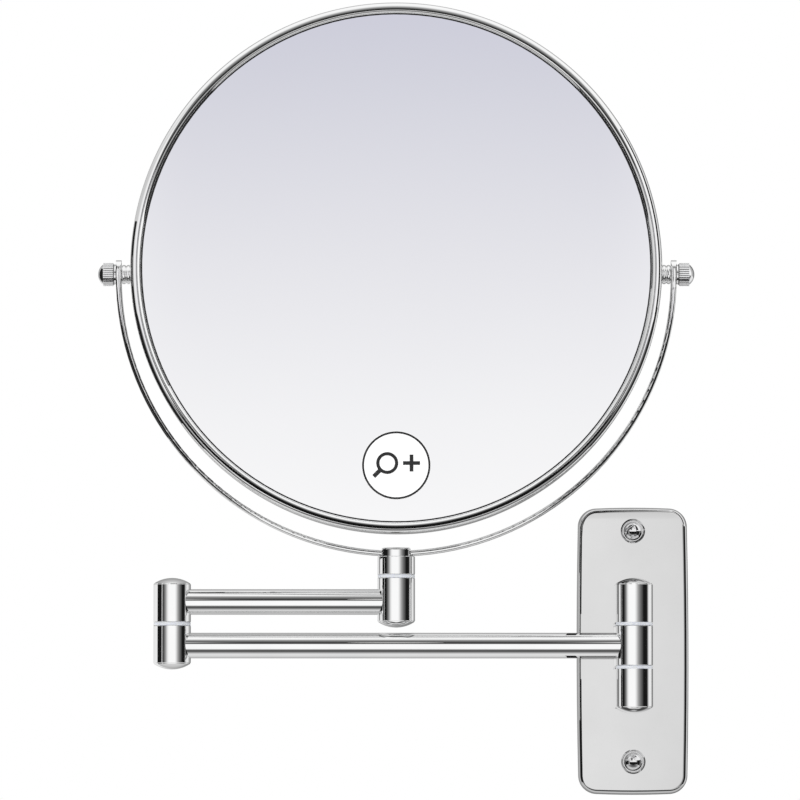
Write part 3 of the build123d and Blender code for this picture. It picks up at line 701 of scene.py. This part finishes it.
def make_screen():
    """A low round screen about the arms."""
    mesh = bpy.data.meshes.new("low_screen")
    shape = bmesh.new()
    lower, upper = [], []
    for i in range(SCREEN_SEGMENTS):
        angle = 2 * math.pi * i / SCREEN_SEGMENTS
        x = SCREEN_CENTRE.x + SCREEN_R * math.cos(angle)
        y = SCREEN_CENTRE.y + SCREEN_R * math.sin(angle)
        lower.append(shape.verts.new((x, y, SCREEN_LOW)))
        upper.append(shape.verts.new((x, y, SCREEN_TOP)))
    for i in range(SCREEN_SEGMENTS):
        j = (i + 1) % SCREEN_SEGMENTS
        shape.faces.new([lower[i], lower[j], upper[j], upper[i]])
    shape.to_mesh(mesh)
    shape.free()
    material, tree, colour, _ = emission_only("low_screen")
    x, y, _ = object_xyz(tree)
    to_side = math_node(tree, "SUBTRACT", x, SCREEN_CENTRE.x)
    to_user = math_node(tree, "SUBTRACT", SCREEN_CENTRE.y, y)
    turn = math_node(tree, "ARCTAN2", to_side, to_user)
    tree.links.new(angle_ramp(tree, turn, SCREEN), colour)
    add_reflected(mesh, material)


def upright(name, a, b):
    """An upright flat mesh between two opposite corners."""
    mesh = bpy.data.meshes.new(name)
    corners = [(a.x, a.y, a.z), (b.x, b.y, a.z), (b.x, b.y, b.z), (a.x, a.y, b.z)]
    mesh.from_pydata(corners, [], [(0, 1, 2, 3)])
    return mesh


# the dark card stands where the rays that the concave mirror sends to the camera cross, so that
# a small hole in it keeps it out of the mirror
CARD_Y = -0.385
CARD_LOW = 0.066
CARD_TOP = 0.50
CARD_HALF = 0.25              # half the width of its mesh
CARD_WAIST = 0.085            # half its width at the height of the hole
CARD_SPREAD = 0.8             # how fast it widens above and below that
CARD_FADE = 0.025
CARD_FADES_TO = (0.9, 0.9, 0.9)
HOLE = Vector((HEAD.x - 0.0005, 0, 0.171))
HOLE_R = 0.022
# its brightness by height above its lower edge
CARD_SHADES = [
    (0.0, 0.9), (0.08, 0.04), (0.20, 0.045), (0.30, 0.08), (0.40, 0.13), (0.50, 0.19),
    (0.70, 0.34), (0.88, 0.50), (1.0, 0.65),
]


def make_front_card():
    """A dark card between the camera and the mirror, for the round frame and the level tubes."""
    low = Vector((HEAD.x - CARD_HALF, CARD_Y, CARD_LOW))
    mesh = upright("front_card", low, Vector((HEAD.x + CARD_HALF, CARD_Y, CARD_TOP)))
    material, tree, colour, solid = emission_only("front_card")
    x, _, z = object_xyz(tree)
    height = math_node(tree, "SUBTRACT", z, CARD_LOW)
    share = math_node(tree, "DIVIDE", height, CARD_TOP - CARD_LOW)
    shade = ramp(tree, share, CARD_SHADES)
    aside = math_node(tree, "ABSOLUTE", math_node(tree, "SUBTRACT", x, HOLE.x))
    apart = math_node(tree, "ABSOLUTE", math_node(tree, "SUBTRACT", z, HOLE.z))
    half_width = math_node(tree, "MULTIPLY_ADD", apart, CARD_SPREAD, CARD_WAIST)
    inside = math_node(tree, "SUBTRACT", half_width, aside)
    faded = mix(tree, smooth_step(tree, inside, -CARD_FADE, CARD_FADE), CARD_FADES_TO, shade)
    tree.links.new(faded, colour)
    within = math_node(tree, "GREATER_THAN", inside, -CARD_FADE)
    aside_squared = math_node(tree, "MULTIPLY", aside, aside)
    distance = math_node(tree, "SQRT", math_node(tree, "MULTIPLY_ADD", apart, apart, aside_squared))
    outside_hole = math_node(tree, "GREATER_THAN", distance, HOLE_R)
    tree.links.new(math_node(tree, "MULTIPLY", within, outside_hole), solid)
    add_reflected(mesh, material)


def add_card(mesh, grey):
    """Puts a flat mesh in the scene as a card of one brightness."""
    material, _, colour, _ = emission_only(mesh.name)
    colour.default_value = (grey, grey, grey, 1)
    add_reflected(mesh, material)


ARC_STEPS = 60
ARC_FADE_POWER = 5            # the greater, the later an arc card starts to narrow
ARC_LEAST_WIDTH = 0.05 * MM


def add_arc_card(name, inner_r, outer_r, y, middle, half_span, grey):
    """A curved card about the mirror's axis that narrows to its outer edge at both ends. The angles
    are in degrees."""
    mesh = bpy.data.meshes.new(name)
    shape = bmesh.new()
    inner, outer = [], []
    for i in range(ARC_STEPS + 1):
        share = 2 * i / ARC_STEPS - 1
        angle = math.radians(middle + half_span * share)
        width = (outer_r - inner_r) * (1 - abs(share) ** ARC_FADE_POWER)
        inner.append(shape.verts.new(round_head(outer_r - width, angle, y)))
        outer.append(shape.verts.new(round_head(outer_r + ARC_LEAST_WIDTH, angle, y)))
    for i in range(ARC_STEPS):
        shape.faces.new([inner[i], outer[i], outer[i + 1], inner[i + 1]])
    shape.to_mesh(mesh)
    shape.free()
    add_card(mesh, grey)


# upright cards beside the arms: name, two opposite corners in metres, grey
SIDE_CARDS = [
    ("left_flag", (-0.260, -0.066, 0.06), (-0.260, 0.012, 0.185), 0.015),
    ("right_flag", (0.070, -0.092, 0.06), (0.070, -0.036, 0.26), 0.03),
    ("elbow_slit", (-0.2565, -0.0595, -0.03), (-0.2525, -0.0625, 0.04), 1.0),
    ("elbow_side", (-0.256, -0.014, -0.03), (-0.256, 0.06, 0.04), 0.85),
]

CARD_GAP = 8 * MM
BOW_LOW, BOW_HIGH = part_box("yoke_bow")
BOW_R = (BOW_HIGH.x - BOW_LOW.x) / 2


def make_head_cards():
    """Dark arcs in front of the frame's lower half, of its top's inner edge and of the bow's arms."""
    ring_y = RIM_FRONT_Y - CARD_GAP
    add_arc_card("ring_card", RIM_R - 6.4 * MM, RIM_R + 3.2 * MM, ring_y, -90, 62, 0.008)
    top_y = RIM_FRONT_Y - 2.5 * MM
    add_arc_card("top_card", RIM_R - 5.3 * MM, RIM_R - 2.9 * MM, top_y, 90, 70, 0.03)
    bow_y = BOW_LOW.y - CARD_GAP
    for side, middle_angle in (("left", 213), ("right", -33)):
        name = f"{side}_bow_card"
        add_arc_card(name, BOW_R - 1.0 * MM, BOW_R + 9 * MM, bow_y, middle_angle, 29, 0.01)


PLATE_CARD_GAP = 3 * MM
PLATE_EDGE = 0.2 * MM         # how far the cards reach over the plate's sides and bottom
PLATE_CLEAR_TOP = 4 * MM
PLATE_CLEAR_TUBE = 8 * MM
LEFT_CARD_WIDTH = 4.2 * MM
RIGHT_CARD_WIDTH = 2.0 * MM
LOWER_CARD_WIDTH = 2.4 * MM


def make_plate_cards():
    """Dark cards along the wall plate's sides and bottom. The left one leaves out the long tube."""
    plate_low, plate_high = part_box("wall_plate")
    tube_low, tube_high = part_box("long_arm_tube")
    y = plate_low.y - PLATE_CARD_GAP
    left, right = plate_low.x + PLATE_EDGE, plate_high.x - PLATE_EDGE
    low, high = plate_low.z + PLATE_EDGE, plate_high.z - PLATE_CLEAR_TOP
    for start, end in ((low, tube_low.z - PLATE_CLEAR_TUBE), (tube_high.z + PLATE_CLEAR_TUBE, high)):
        corner = Vector((left - LEFT_CARD_WIDTH, y, start))
        add_card(upright("plate_left", corner, Vector((left, y, end))), 0.006)
    corner = Vector((right + RIGHT_CARD_WIDTH, y, high))
    add_card(upright("plate_right", Vector((right, y, low)), corner), 0.01)
    corner = Vector((left, y, low - LOWER_CARD_WIDTH))
    add_card(upright("plate_below", corner, Vector((right, y, low))), 0.01)


SCREW_CARD_GAP = 1 * MM
SCREW_CARD_HALF = 2.8 * MM
SCREW_CARD_SPAN = (-2.2 * MM, -0.1 * MM)       # from the middle of the head


def make_screw_cards():
    """Dark cards in front of the lower halves of the wall screws' heads."""
    low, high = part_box("wall_screws")
    head_r = high.x
    y = low.y - SCREW_CARD_GAP
    for centre in (low.z + head_r, high.z - head_r):
        start, end = (centre + shift for shift in SCREW_CARD_SPAN)
        corner = Vector((-SCREW_CARD_HALF, y, start))
        add_card(upright("screw_card", corner, Vector((SCREW_CARD_HALF, y, end))), 0.01)


KNOB_CARD_GAP = 5 * MM
KNOB_CARD_START = 0.8 * MM    # beyond the bow
KNOB_CARD_END = 1 * MM        # beyond the knob
KNOB_CARD_BELOW = 5 * MM
KNOB_CARD_ABOVE = 8 * MM


def make_knob_cards():
    """White cards in front of the knobs."""
    low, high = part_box("right_knob")
    y = low.y - KNOB_CARD_GAP
    for side in (-1, 1):
        inner_x = HEAD.x + side * (BOW_R + KNOB_CARD_START)
        outer_x = HEAD.x + side * (high.x - HEAD.x + KNOB_CARD_END)
        corner = Vector((inner_x, y, PIVOT.z - KNOB_CARD_BELOW))
        mesh = upright("knob_card", corner, Vector((outer_x, y, PIVOT.z + KNOB_CARD_ABOVE)))
        add_card(mesh, 1.0)


make_world()
make_screen()
make_front_card()
for name, corner, opposite, grey in SIDE_CARDS:
    add_card(upright(name, Vector(corner), Vector(opposite)), grey)
make_head_cards()
make_plate_cards()
make_screw_cards()
make_knob_cards()

KEY_SIZE = (0.9, 0.7)
KEY_WATTS = 6.0
KEY_PLACE = Vector((HEAD.x - 0.6, -1.1, 1.0))
KEY_AIM = Vector((HEAD.x, HINGE.y, 0.1))


def make_key_light():
    """A large soft light at the upper left that shapes only the dull surfaces."""
    data = bpy.data.lights.new("key", "AREA")
    data.shape = "RECTANGLE"
    data.size, data.size_y = KEY_SIZE
    data.energy = KEY_WATTS
    light = bpy.data.objects.new("key", data)
    light.location = KEY_PLACE
    light.rotation_mode = "QUATERNION"
    light.rotation_quaternion = (KEY_AIM - KEY_PLACE).to_track_quat("-Z", "Y")
    light.visible_glossy = False
    bpy.context.scene.collection.objects.link(light)


make_key_light()

# ---- floor ----

FLOOR_R = 3.0
FLOOR_Z = -0.6


def make_floor():
    """A pale floor far below, which the shiny parts do not mirror."""
    mesh = bpy.data.meshes.new("floor")
    shape = bmesh.new()
    bmesh.ops.create_circle(shape, cap_ends=True, segments=96, radius=FLOOR_R)
    shape.to_mesh(mesh)
    shape.free()
    floor = bpy.data.objects.new("floor", mesh)
    floor.location = (0, 0, FLOOR_Z)
    bpy.context.scene.collection.objects.link(floor)
    material, tree, shader = new_material("pale_floor")
    ramp(tree, noise(tree, 3), [(0.3, 0.82), (0.7, 0.86)], shader.inputs["Base Color"])
    shader.inputs["Roughness"].default_value = 0.8
    mesh.materials.append(material)
    floor.visible_glossy = False


make_floor()

# ---- camera ----

FRAME_SPAN = 0.320            # what the picture is wide, in metres, in the plane of the arms
CAMERA_DISTANCE = 2.8
CAMERA_ELEVATION = math.radians(-3.2)
AIM = Vector((HEAD.x + 0.0015, HINGE.y, HEAD.z - 0.0527))


def make_camera():
    """The camera looks slightly upwards at the arms, from far away."""
    data = bpy.data.cameras.new("camera")
    camera = bpy.data.objects.new("camera", data)
    bpy.context.scene.collection.objects.link(camera)
    back = Vector((0, -math.cos(CAMERA_ELEVATION), math.sin(CAMERA_ELEVATION)))
    camera.location = AIM + back * CAMERA_DISTANCE
    camera.rotation_mode = "QUATERNION"
    camera.rotation_quaternion = (-back).to_track_quat("-Z", "Y")
    data.sensor_width = 36.0
    data.lens = data.sensor_width * CAMERA_DISTANCE / FRAME_SPAN
    data.clip_start = 0.01
    bpy.context.scene.camera = camera


make_camera()

bpy.context.scene.view_settings.view_transform = "Standard"
